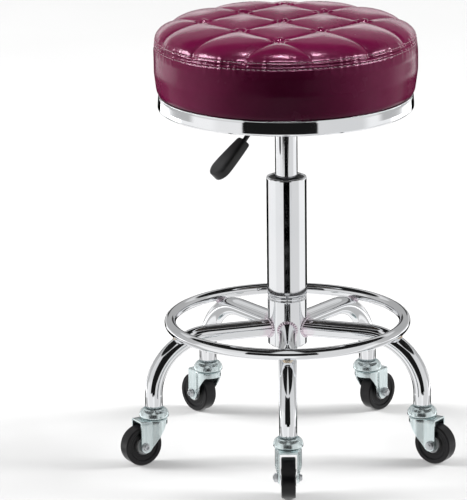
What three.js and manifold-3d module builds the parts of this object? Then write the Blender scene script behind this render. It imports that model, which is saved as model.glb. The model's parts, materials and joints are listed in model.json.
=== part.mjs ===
// Rolling stylist stool: a round tufted seat on a gas lift, over a welded five-leg base with a foot
// ring and five swivel casters. Millimetres, +Z up. The floor is z = 0. The column is at (0, COLUMN_Y).
import * as THREE from "three";
import { mergeVertices } from "three/addons/utils/BufferGeometryUtils.js";
import Module from "manifold-3d";

const wasm = await Module();
wasm.setup();

// ---- Driving dimensions -------------------------------------------------------------------------

const COLUMN_Y = 19.5; // puts the middle of the base's outline at the origin
const GAP = 0.3; // clearance between pieces that touch

// Casters
const WHEEL_RADIUS = 25;
const TYRE_WIDTH = 17.5;
const TYRE_FACETS = 20;
const WHEEL_HUB_RADIUS = 11;
const AXLE_RADIUS = 3;
const AXLE_HALF_LENGTH = 19;
const FORK_TRAIL = 19.3; // from the swivel axis out to the axle
const FORK_WIDTH = 25;
const FORK_PLATE = 2;
const FORK_FRONT_RADIUS = 16.5; // the rounded front of the fork, round the swivel axis
const FORK_FRONT_LOW_Z = 50.5; // lower edge of the skirt at the front
const FORK_TAIL = 25; // from the swivel axis out to the tail's edge
const FORK_TOP_Z = 57.8;
const FORK_LOW_Z = 16.9;
const FORK_TOP_THICKNESS = 2.5;
const CAP_TOP_Z = 69.6;
const CAP_RADIUS = 18.5;
const STEM_RADIUS = 4;
const STEM_SLEEVE_TOP_Z = 85;
const STEM_SLEEVE_RADIUS = 8.6;

// Base
const LEG_COUNT = 5;
const FIRST_LEG_DEG = -90;
const TRAIL_DEG = [-90, -33, 46, 132, -149]; // which way each caster trails, leg by leg
const CASTER_RADIUS = 175.7; // from the column's axis out to each swivel axis
const LEG_RADIUS = 11;
const LEG_WALL = 1.5;
const LEG_HEIGHT = 159.5; // centre of the level stretch
const LEG_BEND = 73;
const LEG_FOOT_Z = 70;
const RING_RADIUS = 147;
const RING_TUBE_RADIUS = 7;
const HUB_RADIUS = 24.5;
const HUB_BOTTOM_Z = 138;
const HUB_TOP_Z = 201.8;

// Gas lift
const COLUMN_RADIUS = 25;
const COLUMN_TOP_Z = 353;
const COLUMN_SHOULDER_Z = 202.2;
const TAPER_RADIUS = 21.4;
const TAPER_FOOT_RADIUS = 20.6;
const COLUMN_BORE = 18.4;
const COLUMN_FLOOR = 4;
const BUSH_BORE = 14.3;
const BUSH_RADIUS = 21;
const BUSH_BOTTOM_Z = 296;
const GAS_RADIUS = 14;
const GAS_BORE = 12;
const GAS_BOTTOM_Z = 222;
const GAS_TOP_Z = 428;
const ROD_RADIUS = 5;
const PISTON_Z = 292;
const BUTTON_RADIUS = 2.6;
const BUTTON_TOP_Z = 431;

// Seat
const BAND_BOTTOM_Z = 440.8;
const BAND_TOP_Z = 459.7;
const PLATE_SIZE = 150;
const PLATE_THICKNESS = 3;
const SOCKET_RADIUS = 19;
const SOCKET_BOTTOM_Z = 411;
const SCREW_SPACING = 60;
const SCREW_RADIUS = 2.7;
const BOARD_RADIUS = 147;
const BOARD_THICKNESS = 12;
const CUSHION_RADIUS = 162;
const CUSHION_NECK_RADIUS = 157.4; // where it rises out of the band
const CUSHION_SKIRT_RADIUS = 152; // inside the band
const SEAM_Z = 526.8;
const CUSHION_TOP_Z = 553;

// Lever
const LEVER_DEG = -150;
const LEVER_RADIUS = 3;
const LEVER_Z = 434.6;
const PIVOT_REACH = 31; // from the column's axis out to the lever's pivot
const PIVOT_RADIUS = 1.5;
const CHEEK_THICKNESS = 2.5;

// ---- Shared shapes ------------------------------------------------------------------------------

const degrees = THREE.MathUtils.degToRad;

// A solid of revolution about Z from (radius, height) points that run anticlockwise round the section.
function turned(points, segments = 24) {
  const profile = points.map(([r, z]) => new THREE.Vector2(r, z));
  return new THREE.LatheGeometry(profile, segments).rotateX(Math.PI / 2);
}

// The same for a section that never reaches the axis, such as a ring's: the outline closes on itself.
function turnedRing(points, segments = 24) {
  return turned([...points, points[0]], segments);
}

function roundBar(radius, z0, z1, segments = 16) {
  return new THREE.CylinderGeometry(radius, radius, z1 - z0, segments)
    .rotateX(Math.PI / 2)
    .translate(0, 0, (z0 + z1) / 2);
}

// A box from its low corner to its high corner.
function block([x0, y0, z0], [x1, y1, z1]) {
  return new THREE.BoxGeometry(x1 - x0, y1 - y0, z1 - z0)
    .translate((x0 + x1) / 2, (y0 + y1) / 2, (z0 + z1) / 2);
}

function toSolid(geometry) {
  const bare = new THREE.BufferGeometry();
  bare.setAttribute("position", geometry.getAttribute("position"));
  bare.setIndex(geometry.index);
  const merged = mergeVertices(bare, 1e-3);
  return new wasm.Manifold(new wasm.Mesh({
    numProp: 3,
    vertProperties: new Float32Array(merged.attributes.position.array),
    triVerts: new Uint32Array(merged.index.array),
  }));
}

function toGeometry(solid) {
  const mesh = solid.getMesh();
  const geometry = new THREE.BufferGeometry();
  geometry.setAttribute("position", new THREE.BufferAttribute(new Float32Array(mesh.vertProperties), 3));
  geometry.setIndex(new THREE.BufferAttribute(new Uint32Array(mesh.triVerts), 1));
  geometry.computeVertexNormals();
  return geometry;
}

const joined = (first, ...more) =>
  toGeometry(more.reduce((sum, piece) => sum.add(toSolid(piece)), toSolid(first)));

const cut = (body, ...tools) =>
  toGeometry(tools.reduce((left, tool) => left.subtract(toSolid(tool)), toSolid(body)));

// ---- Materials ----------------------------------------------------------------------------------

const finish = (color, roughness, metalness) => ({ color, roughness, metalness });
const LEATHERETTE = finish(0x5a1030, 0.3, 0);
const CHROME = finish(0xdfe2e6, 0.08, 1);
const ZINC = finish(0xc5d3d6, 0.35, 0.9);
const STEEL = finish(0x9a9da0, 0.45, 0.9);
const BLACK_PLASTIC = finish(0x1a1a1c, 0.4, 0);
const RUBBER = finish(0x232026, 0.7, 0);
const WHEEL_PLASTIC = finish(0xb9bdc0, 0.5, 0);
const PLYWOOD = finish(0xb08a5a, 0.8, 0);

const stool = new THREE.Group();
stool.position.y = COLUMN_Y;

function place(name, geometry, look, parent = stool) {
  const mesh = new THREE.Mesh(geometry, new THREE.MeshStandardMaterial(look));
  mesh.name = name;
  parent.add(mesh);
  return mesh;
}

// ---- Seat ---------------------------------------------------------------------------------------

const PLATE_TOP_Z = BAND_BOTTOM_Z + 2.2;
const PLATE_BOTTOM_Z = PLATE_TOP_Z - PLATE_THICKNESS;
const BOARD_BOTTOM_Z = PLATE_TOP_Z + GAP;
const BOARD_TOP_Z = BOARD_BOTTOM_Z + BOARD_THICKNESS;
const SCREW_TIP_Z = BOARD_TOP_Z - 3;
const SCREW_PLACES = [[1, 1], [-1, 1], [-1, -1], [1, -1]]
  .map(([x, y]) => [x * SCREW_SPACING, y * SCREW_SPACING]);

// The crown climbs steeply from the seam and is almost level in the middle.
function cushion() {
  const neckZ = BAND_TOP_Z + 1.2;
  const seamRadius = CUSHION_RADIUS - 1;
  const rise = CUSHION_TOP_Z - SEAM_Z;
  const crown = [0.995, 0.97, 0.9, 0.78, 0.6]
    .map((share) => [share * seamRadius, SEAM_Z + rise * Math.sqrt(1 - share ** 5.7)]);
  const profile = [
    [0, BOARD_TOP_Z + GAP],
    [CUSHION_SKIRT_RADIUS, BOARD_TOP_Z + GAP],
    [CUSHION_SKIRT_RADIUS, neckZ],
    [CUSHION_NECK_RADIUS, neckZ],
    [CUSHION_RADIUS - 1, 470],
    [CUSHION_RADIUS, 490],
    [CUSHION_RADIUS, 514],
    [seamRadius, SEAM_Z],
    ...crown,
    [seamRadius * 0.4, CUSHION_TOP_Z],
    [0, CUSHION_TOP_Z],
  ];
  return turned(profile, 32);
}

// The band's section is a thin shell: it bulges out, tucks in below, and turns in under the board.
function trimRing() {
  const outside = [
    [140, BAND_BOTTOM_Z],
    [149.8, BAND_BOTTOM_Z],
    [155.6, 443],
    [158.2, 448.5],
    [157.2, 457],
    [155.2, BAND_TOP_Z],
  ];
  const inside = [
    [153.4, 459],
    [155.8, 448.5],
    [153.8, 444.6],
    [149.4, PLATE_TOP_Z - 0.2],
    [140, PLATE_TOP_Z - 0.2],
  ];
  return turnedRing([...outside, ...inside], 44);
}

function seatBoard() {
  const disc = turned([[0, BOARD_BOTTOM_Z], [BOARD_RADIUS, BOARD_BOTTOM_Z], [BOARD_RADIUS, BOARD_TOP_Z],
    [0, BOARD_TOP_Z]], 32);
  const holes = SCREW_PLACES.map(([x, y]) =>
    roundBar(SCREW_RADIUS + GAP, BOARD_BOTTOM_Z - 1, SCREW_TIP_Z + GAP, 8).translate(x, y, 0));
  return cut(disc, ...holes);
}

// The plate carries the gas lift's socket, slotted for the lever, and two cheeks for the lever's pivot.
function seatPlate() {
  const half = PLATE_SIZE / 2;
  const turn = degrees(LEVER_DEG);
  const cheekInside = LEVER_RADIUS + 1.2;
  const cheekOutside = cheekInside + CHEEK_THICKNESS;
  const plate = block([-half, -half, PLATE_BOTTOM_Z], [half, half, PLATE_TOP_Z]);
  const socket = roundBar(SOCKET_RADIUS, SOCKET_BOTTOM_Z, PLATE_BOTTOM_Z + 1, 24);
  const cheeks = [-1, 1].map((side) => {
    const near = Math.min(side * cheekInside, side * cheekOutside);
    const far = Math.max(side * cheekInside, side * cheekOutside);
    const cheek = block([SOCKET_RADIUS - 2, near, LEVER_Z - 9], [PIVOT_REACH + 7, far, PLATE_BOTTOM_Z + 1]);
    return cheek.rotateZ(turn);
  });
  const bore = roundBar(GAS_RADIUS + GAP, SOCKET_BOTTOM_Z - 1, PLATE_BOTTOM_Z, 24);
  const slot = block([8, -cheekInside, LEVER_Z - 6], [SOCKET_RADIUS + 1, cheekInside, PLATE_BOTTOM_Z])
    .rotateZ(turn);
  const pinHole = roundBar(PIVOT_RADIUS + GAP, -20, 20, 8)
    .rotateX(Math.PI / 2)
    .translate(PIVOT_REACH, 0, LEVER_Z)
    .rotateZ(turn);
  const screwHoles = SCREW_PLACES.map(([x, y]) =>
    roundBar(SCREW_RADIUS + GAP, PLATE_BOTTOM_Z - 1, PLATE_TOP_Z + 1, 8).translate(x, y, 0));
  const body = joined(plate, socket, ...cheeks);
  return cut(body, bore, slot, pinHole, ...screwHoles);
}

// A pan-head screw that comes up through the plate into the board.
function plateScrew() {
  const headRadius = 5.5;
  const head = PLATE_BOTTOM_Z - GAP;
  return turned([[0, head - 3.2], [3.6, head - 3.2], [headRadius, head - 1.4], [headRadius, head],
    [SCREW_RADIUS, head], [SCREW_RADIUS, SCREW_TIP_Z - 2], [0, SCREW_TIP_Z]], 8);
}

place("seat_cushion", cushion(), LEATHERETTE);
place("trim_ring", trimRing(), CHROME);
place("seat_board", seatBoard(), PLYWOOD);
place("seat_plate", seatPlate(), STEEL);
SCREW_PLACES.forEach(([x, y], i) => {
  place(`plate_screw_${i + 1}`, plateScrew(), STEEL).position.set(x, y, 0);
});

// ---- Lever --------------------------------------------------------------------------------------

const GRIP_START = new THREE.Vector3(60.5, 0, 404.8);
const GRIP_END = new THREE.Vector3(102.5, 0, 365.5);
const GRIP_NECK_HALF = 8.5;
const GRIP_TIP_HALF = 15;
const GRIP_THICKNESS = 13;
const GRIP_CHAMFER = 1.5;
const GRIP_SOCKET_DEPTH = 16;

// A bent rod: level from over the valve pin out past the pivot, then down to the grip.
function leverRod() {
  const intoGrip = GRIP_END.clone().sub(GRIP_START).normalize().multiplyScalar(GRIP_SOCKET_DEPTH);
  const path = new THREE.CurvePath();
  const points = [
    new THREE.Vector3(-2, 0, LEVER_Z),
    new THREE.Vector3(PIVOT_REACH + 2, 0, LEVER_Z),
    new THREE.Vector3(PIVOT_REACH + 14, 0, LEVER_Z),
    new THREE.Vector3(PIVOT_REACH + 16, 0, 418),
    GRIP_START,
    GRIP_START.clone().add(intoGrip),
  ];
  path.add(new THREE.LineCurve3(points[0], points[1]));
  path.add(new THREE.CubicBezierCurve3(points[1], points[2], points[3], points[4]));
  path.add(new THREE.LineCurve3(points[4], points[5]));
  const section = new THREE.Shape();
  section.absarc(0, 0, LEVER_RADIUS, 0, 2 * Math.PI);
  const rod = new THREE.ExtrudeGeometry(section, {
    extrudePath: path,
    steps: 12,
    curveSegments: 5,
  });
  const pinHole = roundBar(PIVOT_RADIUS + GAP, -6, 6, 8)
    .rotateX(Math.PI / 2)
    .translate(PIVOT_REACH, 0, LEVER_Z);
  return cut(rod, pinHole);
}

// A flat paddle that widens from a square-shouldered neck to a round end, with a hole for the rod.
function leverGrip() {
  const length = GRIP_END.distanceTo(GRIP_START);
  const outline = new THREE.Shape();
  outline.moveTo(0, -GRIP_NECK_HALF);
  outline.lineTo(length - GRIP_TIP_HALF, -GRIP_TIP_HALF);
  outline.absarc(length - GRIP_TIP_HALF, 0, GRIP_TIP_HALF, -Math.PI / 2, Math.PI / 2);
  outline.lineTo(0, GRIP_NECK_HALF);
  outline.closePath();
  const paddle = new THREE.ExtrudeGeometry(outline, {
    depth: GRIP_THICKNESS - 2 * GRIP_CHAMFER,
    bevelEnabled: true,
    bevelThickness: GRIP_CHAMFER,
    bevelSize: GRIP_CHAMFER,
    bevelOffset: -GRIP_CHAMFER,
    bevelSegments: 1,
    curveSegments: 5,
  }).translate(0, 0, GRIP_CHAMFER - GRIP_THICKNESS / 2);
  const bore = roundBar(LEVER_RADIUS + GAP, -5, GRIP_SOCKET_DEPTH + GAP, 10).rotateY(Math.PI / 2);
  const droop = Math.atan2(GRIP_START.z - GRIP_END.z, GRIP_END.x - GRIP_START.x);
  return cut(paddle, bore).rotateY(droop).translate(GRIP_START.x, 0, GRIP_START.z);
}

function pivotPin() {
  const half = LEVER_RADIUS + CHEEK_THICKNESS + 2.4;
  return roundBar(PIVOT_RADIUS, -half, half, 8).rotateX(Math.PI / 2).translate(PIVOT_REACH, 0, LEVER_Z);
}

const lever = new THREE.Group();
lever.rotation.z = degrees(LEVER_DEG);
stool.add(lever);
place("lever_rod", leverRod(), STEEL, lever);
place("lever_grip", leverGrip(), BLACK_PLASTIC, lever);
place("lever_pivot_pin", pivotPin(), STEEL, lever);

// ---- Gas lift -----------------------------------------------------------------------------------

// The cylinder is open at the foot round its piston rod, and has a blind bore for the valve pin on top.
function gasTube() {
  const gland = 8;
  const crown = 12;
  const outside = [
    [GAS_RADIUS - 1, GAS_BOTTOM_Z],
    [GAS_RADIUS, GAS_BOTTOM_Z + 1.5],
    [GAS_RADIUS, GAS_TOP_Z - 1.5],
    [GAS_RADIUS - 1.5, GAS_TOP_Z],
    [BUTTON_RADIUS + GAP, GAS_TOP_Z],
    [BUTTON_RADIUS + GAP, GAS_TOP_Z - 8],
    [0, GAS_TOP_Z - 8],
  ];
  const inside = [
    [0, GAS_TOP_Z - crown],
    [GAS_BORE, GAS_TOP_Z - crown],
    [GAS_BORE, GAS_BOTTOM_Z + gland],
    [ROD_RADIUS + GAP, GAS_BOTTOM_Z + gland],
    [ROD_RADIUS + GAP, GAS_BOTTOM_Z],
  ];
  return cut(
    turned([[0, GAS_BOTTOM_Z], ...outside], 24),
    turned([[0, GAS_BOTTOM_Z - 1], [ROD_RADIUS + GAP, GAS_BOTTOM_Z - 1], ...inside.reverse().slice(1)], 24),
  );
}

const COLUMN_FOOT_Z = HUB_BOTTOM_Z - 3;
const COLUMN_FLOOR_Z = COLUMN_FOOT_Z + COLUMN_FLOOR;

// The outer tube: a straight polished sleeve with a rounded mouth, and a taper below that wedges in the hub.
function columnTube() {
  return turnedRing([
    [ROD_RADIUS + 0.8, COLUMN_FOOT_Z],
    [TAPER_FOOT_RADIUS, COLUMN_FOOT_Z],
    [TAPER_RADIUS, COLUMN_SHOULDER_Z],
    [COLUMN_RADIUS - 0.8, COLUMN_SHOULDER_Z],
    [COLUMN_RADIUS, COLUMN_SHOULDER_Z + 1],
    [COLUMN_RADIUS, COLUMN_TOP_Z - 2],
    [COLUMN_RADIUS - 2, COLUMN_TOP_Z],
    [BUSH_RADIUS + GAP, COLUMN_TOP_Z],
    [BUSH_RADIUS + GAP, BUSH_BOTTOM_Z - GAP],
    [COLUMN_BORE, BUSH_BOTTOM_Z - GAP],
    [COLUMN_BORE, COLUMN_FLOOR_Z],
    [ROD_RADIUS + 0.8, COLUMN_FLOOR_Z],
  ], 24);
}

function guideBush() {
  const mouth = COLUMN_TOP_Z - 1.2;
  return turnedRing([
    [BUSH_BORE, BUSH_BOTTOM_Z],
    [BUSH_RADIUS, BUSH_BOTTOM_Z],
    [BUSH_RADIUS, mouth],
    [BUSH_BORE + 2.2, mouth],
    [BUSH_BORE, mouth - 1.6],
  ], 24);
}

// The rod stands on the thrust bearing, runs up inside the cylinder, and ends in the piston.
function pistonRod() {
  const piston = GAS_BORE - 0.4;
  return turned([
    [0, COLUMN_FOOT_Z - 5],
    [ROD_RADIUS - 0.8, COLUMN_FOOT_Z - 5],
    [ROD_RADIUS, COLUMN_FOOT_Z - 4.2],
    [ROD_RADIUS, PISTON_Z],
    [piston, PISTON_Z],
    [piston, PISTON_Z + 8],
    [0, PISTON_Z + 8],
  ], 24);
}

const flatRing = (inner, outer, z0, z1, segments) =>
  turnedRing([[inner, z0], [outer, z0], [outer, z1], [inner, z1]], segments);

const valvePin = () => turned([
  [0, GAS_TOP_Z - 4],
  [BUTTON_RADIUS, GAS_TOP_Z - 4],
  [BUTTON_RADIUS, BUTTON_TOP_Z - 0.6],
  [BUTTON_RADIUS - 0.6, BUTTON_TOP_Z],
  [0, BUTTON_TOP_Z],
], 12);

place("gas_tube", gasTube(), CHROME);
place("release_button", valvePin(), STEEL);
place("column_tube", columnTube(), CHROME);
place("guide_bush", guideBush(), BLACK_PLASTIC);
place("piston_rod", pistonRod(), STEEL);
place("thrust_bearing", flatRing(ROD_RADIUS + GAP, 11, COLUMN_FLOOR_Z + GAP, COLUMN_FLOOR_Z + 6, 16), STEEL);
place("retaining_clip", flatRing(ROD_RADIUS + GAP, 9, COLUMN_FOOT_Z - 2.3, COLUMN_FOOT_Z - GAP, 14), STEEL);

// ---- Base ---------------------------------------------------------------------------------------

const LEG_ANGLES = TRAIL_DEG.map((_, i) => FIRST_LEG_DEG + (i * 360) / LEG_COUNT);

// A plain tube with a welded rim bead at the mouth. Its bore follows the column's taper.
function hubTube() {
  const bore = (z) => {
    const along = (z - COLUMN_FOOT_Z) / (COLUMN_SHOULDER_Z - COLUMN_FOOT_Z);
    return THREE.MathUtils.lerp(TAPER_FOOT_RADIUS, TAPER_RADIUS, along) + GAP;
  };
  return turnedRing([
    [bore(HUB_BOTTOM_Z), HUB_BOTTOM_Z],
    [HUB_RADIUS, HUB_BOTTOM_Z],
    [HUB_RADIUS, HUB_TOP_Z - 5.4],
    [HUB_RADIUS - 0.9, HUB_TOP_Z - 4.8],
    [HUB_RADIUS - 0.9, HUB_TOP_Z],
    [bore(HUB_TOP_Z), HUB_TOP_Z],
  ], 24);
}

// A leg runs level out of the hub, then bends straight down to its foot. It is coped to the hub's wall.
function leg() {
  const bendStart = CASTER_RADIUS - LEG_BEND;
  const rimBottom = LEG_HEIGHT - LEG_BEND;
  const path = new THREE.CurvePath();
  const from = new THREE.Vector3(HUB_RADIUS - 6, 0, LEG_HEIGHT);
  const shoulder = new THREE.Vector3(bendStart, 0, LEG_HEIGHT);
  const knee = new THREE.Vector3(CASTER_RADIUS, 0, rimBottom);
  const handle = LEG_BEND * 0.5523; // a cubic Bezier's handle for a quarter circle
  path.add(new THREE.LineCurve3(from, shoulder));
  path.add(new THREE.CubicBezierCurve3(
    shoulder,
    shoulder.clone().setX(bendStart + handle),
    knee.clone().setZ(rimBottom + handle),
    knee,
  ));
  path.add(new THREE.LineCurve3(knee, knee.clone().setZ(LEG_FOOT_Z)));
  const section = new THREE.Shape();
  section.absarc(0, 0, LEG_RADIUS, 0, 2 * Math.PI);
  const bore = new THREE.Path();
  bore.absarc(0, 0, LEG_RADIUS - LEG_WALL, 0, 2 * Math.PI);
  section.holes.push(bore);
  const tube = new THREE.ExtrudeGeometry(section, {
    extrudePath: path,
    steps: 13,
    curveSegments: 5,
  });
  return cut(tube, roundBar(HUB_RADIUS + GAP, HUB_BOTTOM_Z, HUB_TOP_Z, 24));
}

function footRing() {
  // Its centre stands one leg radius and one ring radius off the leg's centre line, square to the bend.
  const reach = LEG_BEND + LEG_RADIUS + RING_TUBE_RADIUS + GAP;
  const across = RING_RADIUS - (CASTER_RADIUS - LEG_BEND);
  const height = LEG_HEIGHT - LEG_BEND + Math.sqrt(reach ** 2 - across ** 2);
  return new THREE.TorusGeometry(RING_RADIUS, RING_TUBE_RADIUS, 8, 40).translate(0, 0, height);
}

place("hub_tube", hubTube(), CHROME);
place("foot_ring", footRing(), CHROME);

// ---- Casters ------------------------------------------------------------------------------------

// Pressed into the leg above, shouldered under the tube's end, and headed below the fork's top plate.
function casterStem() {
  const headTop = FORK_TOP_Z - FORK_TOP_THICKNESS - GAP;
  return turned([
    [0, headTop - 2.6],
    [6.2, headTop - 2.6],
    [6.2, headTop],
    [STEM_RADIUS, headTop],
    [STEM_RADIUS, LEG_FOOT_Z + 2],
    [STEM_SLEEVE_RADIUS, LEG_FOOT_Z + 2],
    [STEM_SLEEVE_RADIUS, STEM_SLEEVE_TOP_Z],
    [0, STEM_SLEEVE_TOP_Z],
  ], 10);
}

// A thin dome over the swivel race, open underneath.
function swivelCap() {
  const bottom = FORK_TOP_Z + GAP;
  const wall = 1.6;
  return turnedRing([
    [CAP_RADIUS - wall, bottom],
    [CAP_RADIUS, bottom],
    [CAP_RADIUS - 0.6, bottom + 4.4],
    [CAP_RADIUS - 4, CAP_TOP_Z - 2.4],
    [CAP_RADIUS - 9, CAP_TOP_Z],
    [STEM_RADIUS + GAP, CAP_TOP_Z],
    [STEM_RADIUS + GAP, CAP_TOP_Z - wall],
    [CAP_RADIUS - 9.4, CAP_TOP_Z - wall],
    [CAP_RADIUS - 2.4, bottom + 4],
  ], 16);
}

// Seen from the side: a level skirt at the front, then a slant down to a round end with the axle in it.
function forkSideOutline() {
  const endRadius = 7.7;
  const end = new THREE.Vector2(FORK_TAIL - endRadius, FORK_LOW_Z + endRadius);
  const slant = -2.54; // radians, where the slanted edge meets the round end
  const slantStart = -9.5;
  const front = -FORK_FRONT_RADIUS - 1;
  const outline = new THREE.Shape();
  outline.moveTo(FORK_TAIL, FORK_TOP_Z);
  outline.lineTo(front, FORK_TOP_Z);
  outline.lineTo(front, FORK_FRONT_LOW_Z);
  outline.lineTo(slantStart, FORK_FRONT_LOW_Z);
  outline.lineTo(end.x + endRadius * Math.cos(slant), end.y + endRadius * Math.sin(slant));
  outline.absarc(end.x, end.y, endRadius, slant, 0);
  outline.closePath();
  return outline;
}

// Seen from above: straight sides that flare out to a rounded front, as a filled outline or as a wall.
function forkPlan(thickness) {
  const half = FORK_WIDTH / 2;
  const flareStart = 10;
  const flareEnd = 1.5;
  const sweep = Math.acos(flareEnd / FORK_FRONT_RADIUS);
  const outline = new THREE.Shape();
  outline.moveTo(FORK_TAIL, -half);
  outline.lineTo(flareStart, -half);
  outline.absarc(0, 0, FORK_FRONT_RADIUS, -sweep, sweep, true);
  outline.lineTo(flareStart, half);
  outline.lineTo(FORK_TAIL, half);
  if (thickness) {
    const inner = half - thickness;
    outline.lineTo(FORK_TAIL, inner);
    outline.lineTo(flareStart, inner);
    outline.absarc(0, 0, FORK_FRONT_RADIUS - thickness, sweep, -sweep);
    outline.lineTo(flareStart, -inner);
    outline.lineTo(FORK_TAIL, -inner);
  }
  outline.closePath();
  return outline;
}

// One pressing: a top plate with a hole for the stem, and a skirt with holes for the axle.
function fork() {
  const half = FORK_WIDTH / 2;
  const flat = (outline, depth) =>
    new THREE.ExtrudeGeometry(outline, { depth, bevelEnabled: false, curveSegments: 8 });
  const wall = toSolid(flat(forkPlan(FORK_PLATE), FORK_TOP_Z - FORK_LOW_Z).translate(0, 0, FORK_LOW_Z));
  const sideReach = FORK_FRONT_RADIUS + 1;
  const side = toSolid(
    flat(forkSideOutline(), 2 * sideReach).rotateX(Math.PI / 2).translate(0, sideReach, 0),
  );
  const skirt = toGeometry(wall.intersect(side));
  const top = flat(forkPlan(0), FORK_TOP_THICKNESS).translate(0, 0, FORK_TOP_Z - FORK_TOP_THICKNESS);
  const stemHole = roundBar(STEM_RADIUS + GAP, FORK_LOW_Z, FORK_TOP_Z + 1, 10);
  const axleHole = roundBar(AXLE_RADIUS + GAP, -half - 1, half + 1, 10)
    .rotateX(Math.PI / 2)
    .translate(FORK_TRAIL, 0, WHEEL_RADIUS);
  return cut(joined(top, skirt), stemHole, axleHole);
}

const alongAxle = (geometry) => geometry.rotateX(-Math.PI / 2).translate(FORK_TRAIL, 0, WHEEL_RADIUS);

// The tread has TYRE_FACETS flats. One of them lies on the floor.
function tyre() {
  const half = TYRE_WIDTH / 2;
  const outwards = 1 / Math.cos(Math.PI / TYRE_FACETS);
  const shoulder = 1.2;
  const section = [
    [WHEEL_HUB_RADIUS + GAP, -half + 0.6],
    [WHEEL_RADIUS - shoulder, -half],
    [WHEEL_RADIUS, -half + shoulder],
    [WHEEL_RADIUS, half - shoulder],
    [WHEEL_RADIUS - shoulder, half],
    [WHEEL_HUB_RADIUS + GAP, half - 0.6],
  ];
  const ring = turnedRing(section.map(([r, z]) => [r * outwards, z]), TYRE_FACETS);
  return alongAxle(ring.rotateZ(Math.PI / TYRE_FACETS));
}

function wheelHub() {
  const half = TYRE_WIDTH / 2;
  const bore = AXLE_RADIUS + GAP;
  return alongAxle(turnedRing([
    [bore, -half - 0.8],
    [WHEEL_HUB_RADIUS - 1, -half - 0.8],
    [WHEEL_HUB_RADIUS, -half],
    [WHEEL_HUB_RADIUS, half],
    [WHEEL_HUB_RADIUS - 1, half + 0.8],
    [bore, half + 0.8],
  ], 16));
}

function axleBolt() {
  const face = FORK_WIDTH / 2 + GAP;
  return alongAxle(turned([
    [0, -face - 4],
    [4.2, -face - 3.4],
    [5.2, -face - 2],
    [5.2, -face],
    [AXLE_RADIUS, -face],
    [AXLE_RADIUS, AXLE_HALF_LENGTH],
    [0, AXLE_HALF_LENGTH],
  ], 10));
}

function axleNut() {
  const face = FORK_WIDTH / 2 + GAP;
  const bore = (AXLE_RADIUS + GAP) / Math.cos(Math.PI / 6);
  return alongAxle(turnedRing([
    [bore, face],
    [5.6, face],
    [5.6, face + 4],
    [4.8, face + 4.8],
    [bore, face + 4.8],
  ], 6));
}

LEG_ANGLES.forEach((angle, i) => {
  const number = i + 1;
  const spoke = new THREE.Group();
  spoke.rotation.z = degrees(angle);
  stool.add(spoke);
  place(`leg_${number}`, leg(), CHROME, spoke);

  const caster = new THREE.Group();
  caster.position.x = CASTER_RADIUS;
  caster.rotation.z = degrees(TRAIL_DEG[i] - angle);
  spoke.add(caster);
  place(`caster_stem_${number}`, casterStem(), STEEL, caster);
  place(`swivel_cap_${number}`, swivelCap(), ZINC, caster);
  place(`fork_${number}`, fork(), ZINC, caster);
  place(`axle_bolt_${number}`, axleBolt(), STEEL, caster);
  place(`axle_nut_${number}`, axleNut(), STEEL, caster);
  place(`tyre_${number}`, tyre(), RUBBER, caster);
  place(`wheel_hub_${number}`, wheelHub(), WHEEL_PLASTIC, caster);
});

export default stool;
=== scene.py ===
"""Looks of a rolling stylist stool: a tufted leatherette seat on a chromed gas lift and five casters.

Metres, +Z up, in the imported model's frame. Shapes that Blender refines are built round the places that the
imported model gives. MM turns a workshop size into metres. The corners of outlines are in millimetres.
"""
import json
from math import atan2, copysign, cos, dist, hypot, pi, radians, sin, sqrt, tan

import bmesh
import bpy
import numpy as np
from mathutils import Matrix, Vector


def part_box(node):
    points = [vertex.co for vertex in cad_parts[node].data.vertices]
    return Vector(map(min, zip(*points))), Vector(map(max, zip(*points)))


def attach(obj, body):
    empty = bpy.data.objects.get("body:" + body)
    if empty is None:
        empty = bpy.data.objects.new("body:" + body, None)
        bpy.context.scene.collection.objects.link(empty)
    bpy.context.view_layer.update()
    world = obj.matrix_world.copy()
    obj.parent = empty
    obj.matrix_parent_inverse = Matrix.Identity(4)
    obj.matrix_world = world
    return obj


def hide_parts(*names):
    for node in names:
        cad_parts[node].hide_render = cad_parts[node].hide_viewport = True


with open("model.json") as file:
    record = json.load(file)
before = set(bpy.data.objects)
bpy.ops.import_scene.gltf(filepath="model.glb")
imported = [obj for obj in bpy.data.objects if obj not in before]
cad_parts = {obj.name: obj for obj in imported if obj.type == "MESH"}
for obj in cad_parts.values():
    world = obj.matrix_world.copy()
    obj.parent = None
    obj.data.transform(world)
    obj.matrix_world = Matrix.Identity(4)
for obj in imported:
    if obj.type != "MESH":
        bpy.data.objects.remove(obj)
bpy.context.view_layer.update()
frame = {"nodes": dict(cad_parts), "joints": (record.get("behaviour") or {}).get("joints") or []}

MM = 0.001
SCENE = bpy.context.scene
JOINTS = {joint["name"]: joint for joint in frame["joints"]}
COLUMN = Vector((*JOINTS["seat_swivel"]["pos_m"][:2], 0))
LEG_NUMBERS = range(1, 6)

# ---- Mesh helpers ----


def added(name, data):
    """A new object in the scene."""
    obj = bpy.data.objects.new(name, data)
    SCENE.collection.objects.link(obj)
    return obj


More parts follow.
